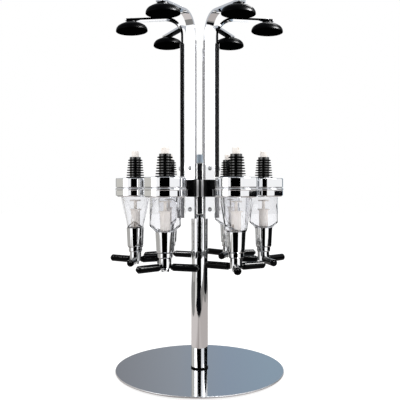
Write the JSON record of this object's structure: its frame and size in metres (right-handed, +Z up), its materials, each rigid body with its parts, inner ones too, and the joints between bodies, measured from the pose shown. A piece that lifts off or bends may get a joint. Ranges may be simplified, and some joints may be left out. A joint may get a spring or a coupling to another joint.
{
  "type": "rotary liquor dispenser",
  "caption": "Free-standing bar carousel that holds inverted bottles by lift-up arms over spirit measures with push-up press stars, turning on a pole and a round base.",
  "frame": {"origin": "on the counter, at the middle of the round base", "axes": "+Z up along the pole; -Y is the side that faces the viewer, +X to the viewer's right"},
  "size_m": [0.3005, 0.2914, 0.588],
  "materials": {
    "chrome": "mirror-polished plating",
    "polished_steel": "polished steel sheet",
    "zinc_steel": "blue zinc plate",
    "spring_steel": "drawn wire",
    "black_plastic": "glossy moulding",
    "black_rubber": "satin moulding",
    "clear_plastic": "clear moulding",
    "cream_plastic": "cream moulding",
    "bearing_plastic": "natural bearing plastic",
    "core_plastic": "plain moulding"
  },
  "bodies": {
    "stand": {"base_plate": "polished_steel", "base_pad": "black_rubber", "base_bolt": "zinc_steel", "base_gasket": "black_rubber", "pole": "chrome", "pole_plug": "zinc_steel", "spindle": "zinc_steel", "spindle_bolt": "zinc_steel"},
    "carousel": {"hub": "chrome", "lower_bush": "bearing_plastic", "upper_bush": "bearing_plastic", "posts": "chrome", "post_cores": "core_plastic", "post_screws": "chrome", "clip_blocks": "black_plastic", "holder_rings": "chrome", "collars": "chrome", "corks": "black_rubber", "inlet_pipes": "cream_plastic", "measure_chambers": "clear_plastic", "valve_guides": "cream_plastic", "spouts": "chrome", "gland_rings": "chrome"},
    "arm_1": {"top_arm_1": "chrome", "bottle_cup_1": "black_plastic"},
    "press_1": {"valve_stem_1": "cream_plastic", "nozzle_sleeve_1": "chrome", "press_grips_1": "black_plastic", "return_spring_1": "spring_steel"},
    "arm_2": {"top_arm_2": "chrome", "bottle_cup_2": "black_plastic"},
    "press_2": {"valve_stem_2": "cream_plastic", "nozzle_sleeve_2": "chrome", "press_grips_2": "black_plastic", "return_spring_2": "spring_steel"},
    "arm_3": {"top_arm_3": "chrome", "bottle_cup_3": "black_plastic"},
    "press_3": {"valve_stem_3": "cream_plastic", "nozzle_sleeve_3": "chrome", "press_grips_3": "black_plastic", "return_spring_3": "spring_steel"},
    "arm_4": {"top_arm_4": "chrome", "bottle_cup_4": "black_plastic"},
    "press_4": {"valve_stem_4": "cream_plastic", "nozzle_sleeve_4": "chrome", "press_grips_4": "black_plastic", "return_spring_4": "spring_steel"},
    "arm_5": {"top_arm_5": "chrome", "bottle_cup_5": "black_plastic"},
    "press_5": {"valve_stem_5": "cream_plastic", "nozzle_sleeve_5": "chrome", "press_grips_5": "black_plastic", "return_spring_5": "spring_steel"},
    "arm_6": {"top_arm_6": "chrome", "bottle_cup_6": "black_plastic"},
    "press_6": {"valve_stem_6": "cream_plastic", "nozzle_sleeve_6": "chrome", "press_grips_6": "black_plastic", "return_spring_6": "spring_steel"}
  },
  "joints": [
    {"name": "carousel_spin", "type": "hinge", "parent": "stand", "child": "carousel", "pos_m": [0, 0, 0.305], "axis": [0, 0, 1], "continuous": true},
    {"name": "arm_lift_1", "type": "slide", "parent": "carousel", "child": "arm_1", "axis": [0, 0, 1], "range_m": [0, 0.09]},
    {"name": "press_push_1", "type": "slide", "parent": "carousel", "child": "press_1", "axis": [0, 0, 1], "range_m": [0, 0.0075], "stiffness_N_per_m": 300, "springref_m": -0.01, "deforming": ["return_spring_1"]},
    {"name": "arm_lift_2", "type": "slide", "parent": "carousel", "child": "arm_2", "axis": [0, 0, 1], "range_m": [0, 0.09]},
    {"name": "press_push_2", "type": "slide", "parent": "carousel", "child": "press_2", "axis": [0, 0, 1], "range_m": [0, 0.0075], "stiffness_N_per_m": 300, "springref_m": -0.01, "deforming": ["return_spring_2"]},
    {"name": "arm_lift_3", "type": "slide", "parent": "carousel", "child": "arm_3", "axis": [0, 0, 1], "range_m": [0, 0.09]},
    {"name": "press_push_3", "type": "slide", "parent": "carousel", "child": "press_3", "axis": [0, 0, 1], "range_m": [0, 0.0075], "stiffness_N_per_m": 300, "springref_m": -0.01, "deforming": ["return_spring_3"]},
    {"name": "arm_lift_4", "type": "slide", "parent": "carousel", "child": "arm_4", "axis": [0, 0, 1], "range_m": [0, 0.09]},
    {"name": "press_push_4", "type": "slide", "parent": "carousel", "child": "press_4", "axis": [0, 0, 1], "range_m": [0, 0.0075], "stiffness_N_per_m": 300, "springref_m": -0.01, "deforming": ["return_spring_4"]},
    {"name": "arm_lift_5", "type": "slide", "parent": "carousel", "child": "arm_5", "axis": [0, 0, 1], "range_m": [0, 0.09]},
    {"name": "press_push_5", "type": "slide", "parent": "carousel", "child": "press_5", "axis": [0, 0, 1], "range_m": [0, 0.0075], "stiffness_N_per_m": 300, "springref_m": -0.01, "deforming": ["return_spring_5"]},
    {"name": "arm_lift_6", "type": "slide", "parent": "carousel", "child": "arm_6", "axis": [0, 0, 1], "range_m": [0, 0.09]},
    {"name": "press_push_6", "type": "slide", "parent": "carousel", "child": "press_6", "axis": [0, 0, 1], "range_m": [0, 0.0075], "stiffness_N_per_m": 300, "springref_m": -0.01, "deforming": ["return_spring_6"]}
  ]
}
